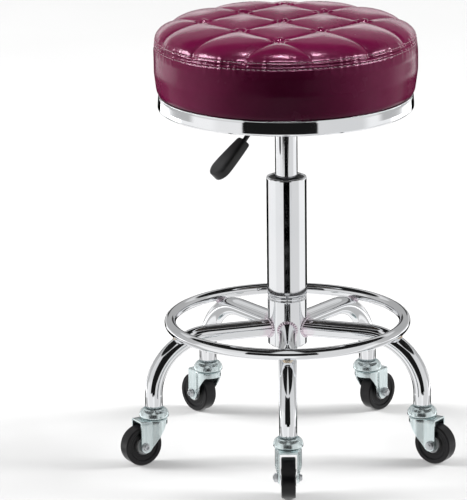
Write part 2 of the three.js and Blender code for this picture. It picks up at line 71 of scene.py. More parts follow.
def mesh_object(name, vertices, faces, material, body, replaces=(), slot=None, sharp_deg=40):
    """A smooth-shaded closed mesh that rides on a body, with edges over sharp_deg kept sharp."""
    mesh = bpy.data.meshes.new(name)
    mesh.from_pydata([tuple(v) for v in vertices], [], [tuple(f) for f in faces])
    clean = bmesh.new()
    clean.from_mesh(mesh)
    bmesh.ops.remove_doubles(clean, verts=clean.verts, dist=1e-6)
    bmesh.ops.dissolve_degenerate(clean, edges=clean.edges, dist=1e-7)
    bmesh.ops.recalc_face_normals(clean, faces=clean.faces)
    clean.to_mesh(mesh)
    clean.free()
    mesh.polygons.foreach_set("use_smooth", [True] * len(mesh.polygons))
    mesh.set_sharp_from_angle(angle=radians(sharp_deg))
    mesh.materials.append(material)
    obj = added(name, mesh)
    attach(obj, body)
    if replaces:
        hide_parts(*replaces)
    return obj


def moved(shape, matrix):
    vertices, faces = shape
    return [matrix @ Vector(v) for v in vertices], faces


def merged(*shapes):
    """Several (vertices, faces) shapes as one."""
    vertices, faces = [], []
    for more_vertices, more_faces in shapes:
        base = len(vertices)
        vertices += list(more_vertices)
        faces += [tuple(base + i for i in face) for face in more_faces]
    return vertices, faces


def rounded(corners_mm, closed=False, steps=5):
    """The outline in metres through (across, up, fillet radius) corners, each corner turned into an arc."""
    outline = []
    corners = [tuple(value * MM for value in corner) for corner in corners_mm]
    count = len(corners)
    for i, (across, up, radius) in enumerate(corners):
        here = Vector((across, up))
        if radius == 0 or (not closed and i in (0, count - 1)):
            outline.append(tuple(here))
            continue
        before = Vector(corners[i - 1][:2]) - here
        after = Vector(corners[(i + 1) % count][:2]) - here
        half = before.angle(after) / 2
        run = min(radius / tan(half), before.length * 0.49, after.length * 0.49)
        before.normalize()
        after.normalize()
        centre = here + (before + after).normalized() * (run / cos(half))
        start = here + before * run - centre
        end = here + after * run - centre
        sweep = atan2(start.x * end.y - start.y * end.x, start.dot(end))
        for k in range(steps + 1):
            outline.append(tuple(centre + Matrix.Rotation(sweep * k / steps, 2) @ start))
    return outline


def held(outline, closed):
    """The outline with extra points just inside each long run's ends, so that the run shades flat."""
    margin = 0.4 * MM
    points = []
    for i, here in enumerate(outline):
        points.append(here)
        if i == len(outline) - 1 and not closed:
            break
        after = outline[(i + 1) % len(outline)]
        length = dist(here, after)
        if length > 5 * margin:
            for share in (margin / length, 1 - margin / length):
                points.append(tuple(Vector(here).lerp(Vector(after), share)))
    return points


def round_angles(count):
    """Angles that go evenly round a full turn."""
    return np.linspace(0, 2 * pi, count, endpoint=False)


def grid_faces(rows, columns, loop=False):
    """Quads between rows of points that go round. loop joins the last row to the first."""
    faces = []
    for row in range(rows if loop else rows - 1):
        below = row * columns
        above = (row + 1) % rows * columns
        for k in range(columns):
            after = (k + 1) % columns
            faces.append((below + k, below + after, above + after, above + k))
    return faces


def sheet_faces(rows, columns):
    """Quads between the points of an open grid."""
    corners = [row * columns + column for row in range(rows - 1) for column in range(columns - 1)]
    return [(k, k + columns, k + columns + 1, k + 1) for k in corners]


def end_faces(rows, columns):
    """The two faces that close the first and the last of such rows."""
    return [tuple(reversed(range(columns))), tuple((rows - 1) * columns + k for k in range(columns))]


def turned(corners_mm, segments, closed=True, steps=5):
    """A solid of revolution about Z from the corners of an outline, as (radius, height, fillet radius)."""
    outline = held(rounded(corners_mm, closed, steps), closed)
    vertices = []
    for radius, height in outline:
        for angle in round_angles(segments):
            vertices.append((radius * cos(angle), radius * sin(angle), height))
    return vertices, grid_faces(len(outline), segments, closed)


def swept(path, radii, sides, closed=False):
    """A round bar along a path of points, with one radius for all of them or one for each."""
    points = [Vector(p) for p in path]
    count = len(points)
    if isinstance(radii, float):
        radii = [radii] * count
    tangents = []
    for i in range(count):
        before = points[i - 1] if closed or i else points[0]
        after = points[(i + 1) % count] if closed or i + 1 < count else points[-1]
        tangents.append((after - before).normalized())
    side = tangents[0].orthogonal().normalized()
    vertices = []
    for point, tangent, radius in zip(points, tangents, radii):
        side = (side - tangent * side.dot(tangent)).normalized()
        up = tangent.cross(side)
        for angle in round_angles(sides):
            vertices.append(point + (side * cos(angle) + up * sin(angle)) * radius)
    faces = grid_faces(count, sides, closed)
    if not closed:
        faces += end_faces(count, sides)
    return vertices, faces


# ---- Material helpers ----


class Graph:
    """The nodes of a material or of the world."""

    def __init__(self, owner):
        owner.use_nodes = True
        self.nodes = owner.node_tree.nodes
        self.links = owner.node_tree.links

    def set(self, node, socket, value):
        if isinstance(value, bpy.types.NodeSocket):
            self.links.new(value, node.inputs[socket])
        else:
            node.inputs[socket].default_value = value

    def fill(self, node, **sockets):
        for socket, value in sockets.items():
            self.set(node, socket.replace("_", " "), value)

    def node(self, kind, settings=None, **sockets):
        made = self.nodes.new("ShaderNode" + kind)
        for key, value in (settings or {}).items():
            setattr(made, key, value)
        self.fill(made, **sockets)
        return made

    def mapped(self, value, low, high, from_low, from_high, easing):
        made = self.node("MapRange", {"interpolation_type": easing}, Value=value, From_Min=from_low,
                         From_Max=from_high, To_Min=low, To_Max=high)
        return made.outputs["Result"]

    def maths(self, operation, first, second=0.0):
        made = self.node("Math", {"operation": operation})
        self.set(made, 0, first)
        self.set(made, 1, second)
        return made.outputs[0]


class Look(Graph):
    """A material round one Principled shader."""

    def __init__(self, name, color, roughness, metallic=0.0, **sockets):
        self.material = bpy.data.materials.new(name)
        super().__init__(self.material)
        self.shader = self.nodes["Principled BSDF"]
        self.place = self.node("TexCoord").outputs["Object"]
        self.fill(self.shader, Base_Color=(*color, 1), Roughness=roughness, Metallic=metallic, **sockets)

    def noise(self, scale, detail, roughness=0.5, place=None):
        settings = {"Scale": scale, "Detail": detail, "Roughness": roughness}
        return self.node("TexNoise", Vector=place or self.place, **settings).outputs["Fac"]

    def cells(self, scale, feature="F1", place=None):
        made = self.node("TexVoronoi", {"feature": feature}, Scale=scale, Vector=place or self.place)
        return made.outputs["Distance"]

    def stretched(self, x, y, z):
        return self.node("Mapping", Vector=self.place, Scale=(x, y, z)).outputs["Vector"]

    def spread(self, value, low, high, from_low=0.3, from_high=0.7):
        return self.mapped(value, low, high, from_low, from_high, "LINEAR")

    def vector(self, operation, first, second=(0, 0, 0)):
        made = self.node("VectorMath", {"operation": operation})
        self.set(made, 0, first)
        self.set(made, 1, second)
        return made.outputs

    def blend(self, amount, first, second):
        made = self.node("Mix", {"data_type": "RGBA"})
        for index, value in ((0, amount), (6, first), (7, second)):
            if isinstance(value, tuple):
                value = (*value, 1)
            self.set(made, index, value)
        return made.outputs[2]

    def color(self, value):
        self.set(self.shader, "Base Color", value)

    def roughness(self, value):
        self.set(self.shader, "Roughness", value)

    def mottle(self, scale, detail, first, second):
        """Colours the look in soft patches of two shades."""
        self.color(self.blend(self.spread(self.noise(scale, detail), 0, 1), first, second))

    def gloss(self, scale, detail, low, high):
        """Lets the roughness wander between two values."""
        self.roughness(self.spread(self.noise(scale, detail), low, high))
    def bumps(self, *layers):
        """Bump maps from (height, strength, distance in metres) layers, each on top of the one before."""
        normal = None
        for height, strength, distance in layers:
            bump = self.node("Bump", Strength=strength, Distance=distance, Height=height)
            if normal:
                self.links.new(normal, bump.inputs["Normal"])
            normal = bump.outputs["Normal"]
        self.links.new(normal, self.shader.inputs["Normal"])


def chrome(name, tint_near=None, tint=None):
    """Bright chrome plate with a faint ripple, tinted by welding up to tint_near metres from the column."""
    look = Look(name, (0.9, 0.91, 0.93), 0.05, 1.0)
    look.gloss(60, 2, 0.035, 0.07)
    plate = look.blend(look.spread(look.noise(12, 2), 0, 1), (0.92, 0.925, 0.94), (0.87, 0.885, 0.905))
    if tint_near:
        offset = look.vector("SUBTRACT", look.place, COLUMN)["Vector"]
        level = look.vector("MULTIPLY", offset, (1, 1, 0))["Vector"]
        wobble = look.spread(look.noise(140, 3), -4 * MM, 4 * MM)
        from_column = look.maths("ADD", look.vector("LENGTH", level)["Value"], wobble)
        plate = look.blend(look.spread(from_column, 0.8, 0.0, tint_near, tint_near + 9 * MM), plate, tint)
    look.color(plate)
    look.bumps((look.noise(35, 2), 0.02, 0.2 * MM), (look.noise(700, 2), 0.03, 0.02 * MM))
    return look.material


def plain(name, color, roughness, metallic, patches, gloss, grain, **sockets):
    """Soft patches of two shades, a wandering roughness, and a grain of (scale, strength, distance)."""
    look = Look(name, color, roughness, metallic, **sockets)
    look.mottle(*patches)
    look.gloss(*gloss)
    scale, strength, distance = grain
    look.bumps((look.noise(scale, 2), strength, distance))
    return look.material


def weld(name, burnt, bright):
    """Chromed weld bead, discoloured in patches by the heat."""
    patches = (120, 3, bright, burnt)
    return plain(name, bright, 0.18, 1.0, patches, (300, 2, 0.1, 0.3), (500, 0.4, 0.2 * MM))


def leatherette():
    """Glossy burgundy leatherette: soft blotches, a fine pebble grain, small creases and hair scratches."""
    look = Look("leatherette", (0.1, 0.004, 0.026), 0.3, Specular_IOR_Level=0.17, Coat_Weight=0.04,
                Coat_Roughness=0.06, Specular_Tint=(1.0, 0.5, 0.74, 1))
    blotch = look.spread(look.noise(9, 4, 0.6), 0, 1)
    fine = look.spread(look.noise(90, 3, 0.6), 0, 1)
    base = look.blend(blotch, (0.115, 0.0018, 0.032), (0.15, 0.0035, 0.046))
    look.color(look.blend(look.maths("MULTIPLY", fine, 0.3), base, (0.18, 0.01, 0.06)))
    look.roughness(look.spread(look.noise(22, 4, 0.6), 0.17, 0.3))
    creases = look.cells(160, "DISTANCE_TO_EDGE", look.stretched(1, 1, 0.6))
    scratch = look.noise(60, 1, 0.5, look.stretched(0.4, 7, 2.2))
    look.bumps(
        (look.noise(40, 3), 0.16, 1.4 * MM),
        (look.spread(creases, 0, 1, 0.0, 0.05), 0.05, 0.12 * MM),
        (look.cells(1100), 0.08, 0.1 * MM),
        (look.spread(scratch, 0, 1, 0.492, 0.5), 0.03, 0.05 * MM),
    )
    return look.material


def thread():
    look = Look("seam_thread", (0.2, 0.03, 0.08), 0.55, Sheen_Weight=0.3)
    diagonal = {"bands_direction": "DIAGONAL"}
    twist = look.node("TexWave", diagonal, Scale=260.0, Distortion=1.0, Vector=look.place).outputs["Fac"]
    look.color(look.blend(twist, (0.14, 0.014, 0.045), (0.32, 0.07, 0.14)))
    look.bumps((twist, 0.5, 0.1 * MM))
    return look.material


def zinc():
    """Bluish bright zinc plate, brushed faintly upright."""
    look = Look("zinc_plate", (0.74, 0.81, 0.82), 0.25, 0.88)
    streak = look.spread(look.noise(60, 3, 0.5, look.stretched(6, 6, 0.7)), 0, 1)
    look.color(look.blend(streak, (0.76, 0.87, 0.88), (0.86, 0.95, 0.955)))
    look.gloss(90, 3, 0.18, 0.28)
    look.bumps((look.noise(60, 2), 0.03, 0.1 * MM), (streak, 0.04, 0.05 * MM))
    return look.material


def bright_steel():
    look = Look("fastener_steel", (0.62, 0.64, 0.66), 0.32, 1.0)
    look.gloss(150, 3, 0.24, 0.42)
    look.bumps((look.noise(400, 2), 0.1, 0.05 * MM))
    return look.material


def black_paint():
    """Black powder coat with a fine orange peel."""
    patches = (40, 3, (0.014, 0.014, 0.016), (0.03, 0.03, 0.032))
    grain = (900, 0.25, 0.08 * MM)
    return plain("mechanism_paint", (0.018, 0.018, 0.02), 0.42, 0.0, patches, (80, 2, 0.34, 0.5), grain)


def black_plastic():
    """Moulded black plastic with a fine spark-eroded texture."""
    patches = (60, 3, (0.016, 0.016, 0.018), (0.028, 0.028, 0.03))
    grain = (1400, 0.22, 0.06 * MM)
    return plain("grip_plastic", (0.02, 0.02, 0.022), 0.38, 0.0, patches, (120, 3, 0.32, 0.46), grain)


def rubber():
    """Black rubber, a little dusty."""
    look = Look("tyre_rubber", (0.006, 0.005, 0.007), 0.4, Specular_IOR_Level=0.35)
    dust = look.spread(look.noise(70, 4, 0.65), 0, 1, 0.45, 0.8)
    look.color(look.blend(dust, (0.004, 0.0035, 0.005), (0.013, 0.011, 0.013)))
    look.gloss(110, 3, 0.3, 0.46)
    look.bumps((look.noise(500, 3), 0.2, 0.08 * MM))
    return look.material


def wheel_plastic():
    patches = (80, 2, (0.78, 0.8, 0.81), (0.88, 0.9, 0.91))
    return plain("wheel_plastic", (0.66, 0.68, 0.7), 0.35, 0.0, patches, (200, 2, 0.28, 0.42),
                 (600, 0.12, 0.05 * MM), Coat_Weight=0.2)


def plywood():
    """Dark-stained plywood: long grain along X, with darker streaks."""
    look = Look("plywood", (0.06, 0.042, 0.028), 0.7)
    grain = look.noise(30, 5, 0.65, look.stretched(0.8, 9, 9))
    look.color(look.blend(look.spread(grain, 0, 1), (0.075, 0.052, 0.034), (0.035, 0.024, 0.015)))
    look.roughness(look.spread(grain, 0.6, 0.8))
    look.bumps((grain, 0.3, 0.3 * MM))
    return look.material


CHROME = chrome("tube_chrome")
BAND_CHROME = chrome("band_chrome")
HUB_CHROME = chrome("hub_chrome", tint_near=0.012, tint=(0.86, 0.74, 0.82))
LEG_CHROME = chrome("leg_chrome", tint_near=0.031, tint=(0.86, 0.76, 0.83))
LEATHERETTE = leatherette()
THREAD = thread()
ZINC = zinc()
STEEL = bright_steel()
PAINT = black_paint()
PLASTIC = black_plastic()
RUBBER = rubber()
WHEEL_PLASTIC = wheel_plastic()
PLYWOOD = plywood()
WELD = weld("weld_mauve", (0.8, 0.66, 0.74), (0.9, 0.85, 0.9))
WELD_STRAW = weld("weld_straw", (0.62, 0.42, 0.2), (0.88, 0.82, 0.72))


# ---- Seat cushion ----

CUSHION_LOW, CUSHION_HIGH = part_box("seat_cushion")
BAND_LOW, BAND_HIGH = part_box("trim_ring")
SEAM_RADIUS = 161.2 * MM
CROWN_RISE = 26.2 * MM
SEAM_HEIGHT = CUSHION_HIGH.z - CROWN_RISE
CROWN_POWERS = (5.7, 2.03)  # of radius and of height, in the crown's superellipse
TUFT_SPACING = (49 * MM, 55 * MM)  # half a diamond, along X and along Y
PATTERN_TURN = radians(-1.9)
PATTERN_SHIFT = (-3.8 * MM, 2.5 * MM)
TUFT_DEPTH = 7.7 * MM
GROOVE_DEPTH = 8.6 * MM
GROOVE_END_DEPTH = 5 * MM
PILLOW_REACH = 36 * MM
SEAM_WANDER = 2.4 * MM  # the seam runs this much higher on the right than in the middle
SEAM_TILT = 0.35  # bearing, in radians, that the wander is turned by
STITCH_ROWS = (-4.2 * MM, 4.2 * MM)
STITCH_PITCH = 6.2 * MM
CROWN_POINTS = 600


def crown_profile():
    """(radius, height) from the middle of the crown out to the seam."""
    radius_power, height_power = CROWN_POWERS
    turn = np.linspace(0, pi / 2, CROWN_POINTS)
    radius = SEAM_RADIUS * np.sin(turn) ** (2 / radius_power)
    height = SEAM_HEIGHT + CROWN_RISE * np.cos(turn) ** (2 / height_power)
    return np.stack([radius, height], 1)


def wall_profile():
    """(radius, height) from the seam down to where the cushion tucks in behind the band."""
    seam = SEAM_HEIGHT / MM
    lip = BAND_HIGH.z / MM + 0.9
    corners = [
        (SEAM_RADIUS / MM, seam, 0), (162.6, seam - 14, 40), (162.4, seam - 38, 60),
        (159.6, lip + 5, 20), (157.0, lip, 1.5), (152.4, lip, 1), (152.0, CUSHION_LOW.z / MM + 0.2, 0),
    ]
    return np.array(rounded(corners, steps=8))


PROFILE = np.concatenate([crown_profile(), wall_profile()[1:]])
PROFILE_RUN = np.concatenate([[0], np.cumsum(np.linalg.norm(np.diff(PROFILE, axis=0), axis=1))])
SEAM_RUN = PROFILE_RUN[CROWN_POINTS - 1]
PROFILE_END = PROFILE_RUN[-1]


def profile_at(run):
    return np.stack([np.interp(run, PROFILE_RUN, PROFILE[:, axis]) for axis in (0, 1)])


def on_profile(run):
    """Radius, height and outward normal of the plain cushion at a run along its profile."""
    step = 0.6 * MM
    ahead, behind = np.minimum(run + step, PROFILE_END), np.maximum(run - step, 0)
    across, up = profile_at(ahead) - profile_at(behind)
    size = np.hypot(across, up) + 1e-12
    return *profile_at(run), -up / size, across / size


def pattern_place(across, back):
    """Where a place in the tufting pattern lies on the seat: the pattern sits a little askew."""
    cosine, sine = cos(PATTERN_TURN), sin(PATTERN_TURN)
    right, away = PATTERN_SHIFT
    return across * cosine - back * sine + right, across * sine + back * cosine + away


def lattice():
    """The pinch points: lattice places in a diamond pattern that lie well inside the seam."""
    wide, deep = TUFT_SPACING
    places = [(i * wide, j * deep) for i in range(-2, 3) for j in range(-2, 3) if (i + j) % 2 == 0]
    return [place for place in places if hypot(*place) < 125 * MM]


def grooves():
    """(start, end, runs out to the seam) of every crease: between tufts, and out from the outer ones."""
    wide, deep = TUFT_SPACING
    inside = lattice()
    creases = []
    for x, y in inside:
        for across, back in ((1, 1), (1, -1), (-1, 1), (-1, -1)):
            end = (x + across * wide, y + back * deep)
            near = [t for t in inside if dist(t, end) < 1 * MM]
            if near and (x, y) < near[0]:
                creases.append(((x, y), near[0], False))
            elif not near and hypot(*end) > hypot(x, y) + 20 * MM:
                creases.append(((x, y), end, True))
    return [(pattern_place(*start), pattern_place(*end), runs_out) for start, end, runs_out in creases]


def hollow(x, y):
    """How deep the tufting pulls the cover in at each place on the crown."""
    sharpness = 3
    total = np.zeros_like(x)
    for (x0, y0), (x1, y1), runs_out in grooves():
        long, deep = x1 - x0, y1 - y0
        along = ((x - x0) * long + (y - y0) * deep) / (long**2 + deep**2)
        share = np.clip(along, 0, 1.6 if runs_out else 1.0)
        aside = np.hypot(x - x0 - share * long, y - y0 - share * deep)
        if runs_out:
            depth = TUFT_DEPTH + (GROOVE_END_DEPTH - TUFT_DEPTH) * np.clip(share, 0, 1) ** 0.5
        else:
            depth = TUFT_DEPTH + (GROOVE_DEPTH - TUFT_DEPTH) * np.sin(pi * share)
        near = np.clip(1 - aside / PILLOW_REACH, 0, 1) * 0.985
        total += (depth * (1 - np.sqrt(1 - near**2))) ** sharpness
    return total ** (1 / sharpness)


def puckers(x, y):
    """Small pleats that fan out round each tuft."""
    height = np.zeros_like(x)
    for number, tuft in enumerate(lattice()):
        x0, y0 = pattern_place(*tuft)
        away = np.hypot(x - x0, y - y0)
        bearing = np.arctan2(y - y0, x - x0)
        fan = np.cos(8 * bearing + number) + 0.7 * np.cos(13 * bearing + 2.3 * number)
        height += 0.7 * MM * fan * np.exp(-((away / (10 * MM)) ** 2)) * np.clip(away / (3 * MM), 0, 1)
        fold = 0.5 + 0.5 * np.cos(5 * bearing + 1.7 * number)
        height += 1.9 * MM * fold * np.exp(-(((away - 9 * MM) / (3 * MM)) ** 2))
    return height


def seam_relief(run, bearing):
    """The seam's crease, the two stitched rows, and the small gathers that the stitches pull along them."""
    off = run - SEAM_RUN + SEAM_WANDER * np.cos(bearing + SEAM_TILT)
    relief = -1.5 * MM * np.exp(-((off / (0.9 * MM)) ** 2))
    for row in STITCH_ROWS:
        relief -= 0.55 * MM * np.exp(-(((off - row) / (1.1 * MM)) ** 2))
    gather = np.cos(bearing * 97) + 0.7 * np.cos(bearing * 61 + 1.0) + 0.5 * np.cos(bearing * 149 + 2.0)
    relief += 0.22 * MM * gather * np.exp(-((off / (9 * MM)) ** 2))
    wall = np.clip((off - 6 * MM) / (25 * MM), 0, 1)
    wall *= np.clip((PROFILE_END - run - 14 * MM) / (30 * MM), 0, 1)
    relief += 0.35 * MM * wall * (np.cos(bearing * 7 + 0.5) + 0.6 * np.cos(bearing * 13 + off * 40))
    return relief


def cushion_surface(run, bearing):
    """Places on the finished cover, from runs along the profile and bearings round the column."""
    radius, height, normal_out, normal_up = on_profile(run)
    x, y = radius * np.cos(bearing), radius * np.sin(bearing)
    on_top = np.clip((SEAM_RUN - run) / (5 * MM), 0, 1) ** 0.5
    push = (puckers(x, y) - hollow(x, y)) * on_top + seam_relief(run, bearing)
    radius = radius + normal_out * push
    height = height + normal_up * push
    return np.stack([COLUMN.x + radius * np.cos(bearing), COLUMN.y + radius * np.sin(bearing), height], -1)


def cushion_cover():
    """A square grid wrapped onto the crown, then rings down over the seam and wall, then the underside."""
    cells = 220
    rim_run = SEAM_RUN - 10 * MM
    line = np.linspace(-1, 1, cells + 1)
    a, b = np.meshgrid(line, line, indexing="ij")
    wide = np.abs(a) > np.abs(b)
    share = np.where(wide, a, b)
    safe = np.where(share == 0, 1, share)
    bearing = np.where(wide, pi / 4 * b / safe, pi / 2 - pi / 4 * a / safe)
    bearing = np.where(share < 0, bearing + pi, bearing)
    vertices = cushion_surface(np.abs(share) * rim_run, bearing).reshape(-1, 3).tolist()
    faces = sheet_faces(cells + 1, cells + 1)
    rim = [(cells, j) for j in range(cells // 2, cells)] + [(i, cells) for i in range(cells, 0, -1)]
    rim += [(0, j) for j in range(cells, 0, -1)] + [(i, 0) for i in range(cells)]
    rim += [(cells, j) for j in range(cells // 2)]
    last = [i * (cells + 1) + j for i, j in rim]
    around = np.array([bearing[i, j] for i, j in rim])
    fine = np.arange(rim_run, SEAM_RUN + 10 * MM, 0.7 * MM)[1:]
    coarse = np.linspace(SEAM_RUN + 10 * MM, PROFILE_END, 40)
    for run in np.concatenate([fine, coarse]):
        lower = list(range(len(vertices), len(vertices) + len(last)))
        vertices += cushion_surface(np.full(len(last), run), around).tolist()
        faces += [(last[k - 1], lower[k - 1], lower[k], last[k]) for k in range(len(last))]
        last = lower
    faces.append(tuple(last))
    shape = vertices, faces
    cover = mesh_object("cushion_cover", *shape, LEATHERETTE, "seat", ["seat_cushion"], "leatherette", 75)


def capsule(length, radius):
    """A short round-ended thread along X."""
    half = length / 2 - radius
    ends = [(half, 1), (half + 0.6 * radius, 0.75), (half + radius, 0.05)]
    stations = [(-x, share) for x, share in reversed(ends)] + ends
    path = [(x, 0, 0) for x, _ in stations]
    return swept(path, [radius * share for _, share in stations], 6)


def stitch_row(name, offset):
    count = int(2 * pi * SEAM_RADIUS / STITCH_PITCH)
    bearings = np.arange(count) * 2 * pi / count
    step = 2 * MM / SEAM_RADIUS
    run = SEAM_RUN + offset - SEAM_WANDER * np.cos(bearings + SEAM_TILT)
    here = cushion_surface(run, bearings)
    along = cushion_surface(run, bearings + step) - cushion_surface(run, bearings - step)
    down = cushion_surface(run + 1 * MM, bearings) - cushion_surface(run - 1 * MM, bearings)
    stitch = capsule(STITCH_PITCH * 0.72, 0.48 * MM)
    shapes = []
    for place, run_dir, down_dir in zip(here, along, down):
        forward = Vector(run_dir).normalized()
        outward = forward.cross(Vector(down_dir)).normalized()
        if outward.dot(Vector(place) - COLUMN) < 0:
            outward.negate()
        sideways = outward.cross(forward)
        turn = Matrix((forward, sideways, outward)).transposed().to_4x4()
        shapes.append(moved(stitch, Matrix.Translation(Vector(place) + outward * 0.12 * MM) @ turn))
    mesh_object(name, *merged(*shapes), THREAD, "seat", slot="leatherette", sharp_deg=80)


# ---- Band and gas lift ----

UPRIGHT = Matrix.Translation(COLUMN)
GAS_LOW, GAS_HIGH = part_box("gas_tube")
TUBE_LOW, TUBE_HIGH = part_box("column_tube")
HUB_LOW, HUB_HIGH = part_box("hub_tube")
BUSH_LOW, BUSH_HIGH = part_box("guide_bush")
TUBE_RADIUS = 25  # these four in millimetres
GAS_RADIUS = 14
HUB_RADIUS = 24.5
TAPER_RADIUS = 21.4


def column_piece(name, shape, material, body, node, slot):
    """A turned piece that stands on the column's axis and replaces one node."""
    mesh_object(name, *moved(shape, UPRIGHT), material, body, [node], slot)


def trim_band():
    """A rolled chrome band: a bead at the top, a nearly straight side, and a flange turned in below."""
    bottom, top = BAND_LOW.z / MM, BAND_HIGH.z / MM
    shape = turned([
        (140, bottom, 0.4), (155.4, bottom, 3), (158.25, bottom + 2.4, 1.4), (158.05, bottom + 7.5, 14),
        (157.5, top - 3.2, 6), (156.9, top - 1.6, 0.5), (157.0, top - 0.1, 0.8),
        (155.4, top - 0.1, 0.7),
        (155.2, top - 3, 2), (156.4, bottom + 7.5, 8), (154.6, bottom + 4, 3), (148.6, bottom + 1.8, 3),
        (140, bottom + 1.8, 0.4),
    ], 240)
    column_piece("band", shape, BAND_CHROME, "seat", "trim_ring", "band_chrome")


def gas_cylinder():
    bottom, top = GAS_LOW.z / MM, GAS_HIGH.z / MM
    shape = turned([
        (0, top, 0), (GAS_RADIUS - 1, top, 0.8), (GAS_RADIUS, top - 4, 2), (GAS_RADIUS, bottom, 1.5),
        (5.4, bottom, 0.4), (5.4, bottom + 6, 0.4), (0, bottom + 6, 0),
    ], 96, closed=False)
    column_piece("gas_cylinder", shape, CHROME, "seat", "gas_tube", "tube_chrome")


def outer_tube():
    """A sleeve with a rolled mouth, a tucked-in foot and the taper that stands in the hub."""
    bottom, top, bush = TUBE_LOW.z / MM, TUBE_HIGH.z / MM, BUSH_LOW.z / MM - 1
    bore, shoulder = 21.4, HUB_HIGH.z / MM + 0.4
    shape = turned([
        (TUBE_RADIUS, top, 2.0), (bore, top, 1.2), (bore, bush, 0.5), (18.4, bush, 0.5),
        (18.4, bottom + 4, 0.5), (5.9, bottom + 4, 0.3), (5.9, bottom, 0.3),
        (TAPER_RADIUS - 0.8, bottom, 1), (TAPER_RADIUS, shoulder, 0.3), (TUBE_RADIUS, shoulder, 2.2),
    ], 128)
    column_piece("outer_tube", shape, CHROME, "base", "column_tube", "tube_chrome")


def mouth_bush():
    bottom, top = BUSH_LOW.z / MM, BUSH_HIGH.z / MM
    shape = turned([
        (14.35, bottom, 0.5), (21, bottom, 0.5), (21, top - 0.4, 0.5), (19.2, top, 0.5),
        (18.4, top - 1.4, 0.4), (16.6, top - 1.4, 0.4), (16.0, top - 0.4, 0.4), (14.35, top - 1.8, 0.6),
    ], 96, steps=3)
    column_piece("mouth_bush", shape, PLASTIC, "base", "guide_bush", "bush_plastic")


def hub():
    """The hub tube, with a narrow rolled collar where the column drops into it."""
    bottom, top = HUB_LOW.z / MM, HUB_HIGH.z / MM
    shape = turned([
        (TAPER_RADIUS + 0.3, bottom, 0.4), (HUB_RADIUS, bottom, 0.8), (HUB_RADIUS, top - 5.2, 1.0),
        (HUB_RADIUS - 1.2, top - 4.4, 0.5), (HUB_RADIUS - 0.2, top - 3.2, 0.8),
        (HUB_RADIUS - 0.2, top - 0.6, 0.8), (HUB_RADIUS - 1.6, top, 0.5),
        (TAPER_RADIUS + 0.35, top, 0.4),
    ], 128)
    column_piece("hub", shape, HUB_CHROME, "base", "hub_tube", "tube_chrome")


trim_band()
cushion_cover()
for row_name, row_offset in zip(("stitches_upper", "stitches_lower"), STITCH_ROWS):
    stitch_row(row_name, row_offset)
gas_cylinder()
outer_tube()
mouth_bush()
hub()


# ---- Legs, foot ring and welds ----

LEG_RADIUS = 11 * MM
LEG_BEND = 73 * MM
LEG_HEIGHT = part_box("leg_1")[1].z - LEG_RADIUS
LEG_FOOT_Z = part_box("leg_1")[0].z
RING_LOW, RING_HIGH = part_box("foot_ring")
RING_TUBE_RADIUS = 7 * MM
RING_RADIUS = 147 * MM
RING_Z = (RING_LOW.z + RING_HIGH.z) / 2
UP = Vector((0, 0, 1))


def foot_of(number):
    """Where a leg's swivel axis stands, at floor level, and the way out to it from the column."""
    place = Vector((*JOINTS[f"caster_swivel_{number}"]["pos_m"][:2], 0))
    return place, (place - COLUMN).normalized()


def bend_of(number):
    """The centre that a leg bends round."""
    place, out = foot_of(number)
    return place - out * LEG_BEND + UP * (LEG_HEIGHT - LEG_BEND)


def leg(number):
    place, out = foot_of(number)
    bend = bend_of(number)
    start = COLUMN + out * 16 * MM + UP * LEG_HEIGHT
    path = [start.lerp(bend + UP * LEG_BEND, k / 6) for k in range(6)]
    path += [bend + (UP * cos(a) + out * sin(a)) * LEG_BEND for a in np.linspace(0, pi / 2, 41)]
    path += [place + UP * (LEG_FOOT_Z + 0.6 * MM), place + UP * LEG_FOOT_Z]
    radii = [LEG_RADIUS] * (len(path) - 1) + [LEG_RADIUS - 0.5 * MM]
    shape = swept(path, radii, 40)
    mesh_object(f"leg_tube_{number}", *shape, LEG_CHROME, "base", [f"leg_{number}"], "tube_chrome", 50)


def ring():
    centre = COLUMN + UP * RING_Z
    points = [centre + Vector((cos(a), sin(a), 0)) * RING_RADIUS
              for a in round_angles(240)]
    shape = swept(points, RING_TUBE_RADIUS, 32, closed=True)
    mesh_object("ring_tube", *shape, CHROME, "base", ["foot_ring"], "tube_chrome")


for leg_number in LEG_NUMBERS:
    leg(leg_number)
ring()


# ---- Casters ----

TRAIL = 19.3 * MM
AXLE_HEIGHT = 25 * MM
FORK_HALF = 12.5 * MM
FORK_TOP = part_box("fork_1")[1].z
TYRE_HALF = 8.75  # these three in millimetres
WHEEL_RADIUS = 25
BOLT_FACE = FORK_HALF / MM + 0.2


def caster_matrix(number):
    """Puts a caster that trails along +X from its swivel axis in its place."""
    place, _ = foot_of(number)
    axle = Vector((*JOINTS[f"wheel_spin_{number}"]["pos_m"][:2], 0))
    trail = (axle - place).normalized()
    return Matrix.Translation(place) @ Matrix.Rotation(atan2(trail.y, trail.x), 4, "Z")


AXLE = Matrix.Translation((TRAIL, 0, AXLE_HEIGHT)) @ Matrix.Rotation(pi / 2, 4, "X")


def cap_shape():
    """A domed cup over the swivel race, with a raised collar round the leg's foot."""
    bottom = FORK_TOP / MM + 0.3
    low = bottom + 1.6
    outline = [(4.4, 68.2, 0), (12.0, 68.4, 0.3), (12.1, 70.3, 0.5), (13.1, 70.3, 0.6), (13.5, 68.3, 0.3)]
    for share in (0.78, 0.64, 0.5, 0.36, 0.22, 0.1):
        outline.append((18.5 * (1 - share**2.6) ** (1 / 2.6), low + 13 * share, 6))
    outline += [(18.5, low, 0.5), (15.4, low, 0.4), (15.4, bottom, 0.4)]
    outline += [(16.6, low + 3, 4), (11, 66.4, 3), (4.4, 66.6, 0)]
    return turned(outline, 80, steps=4)


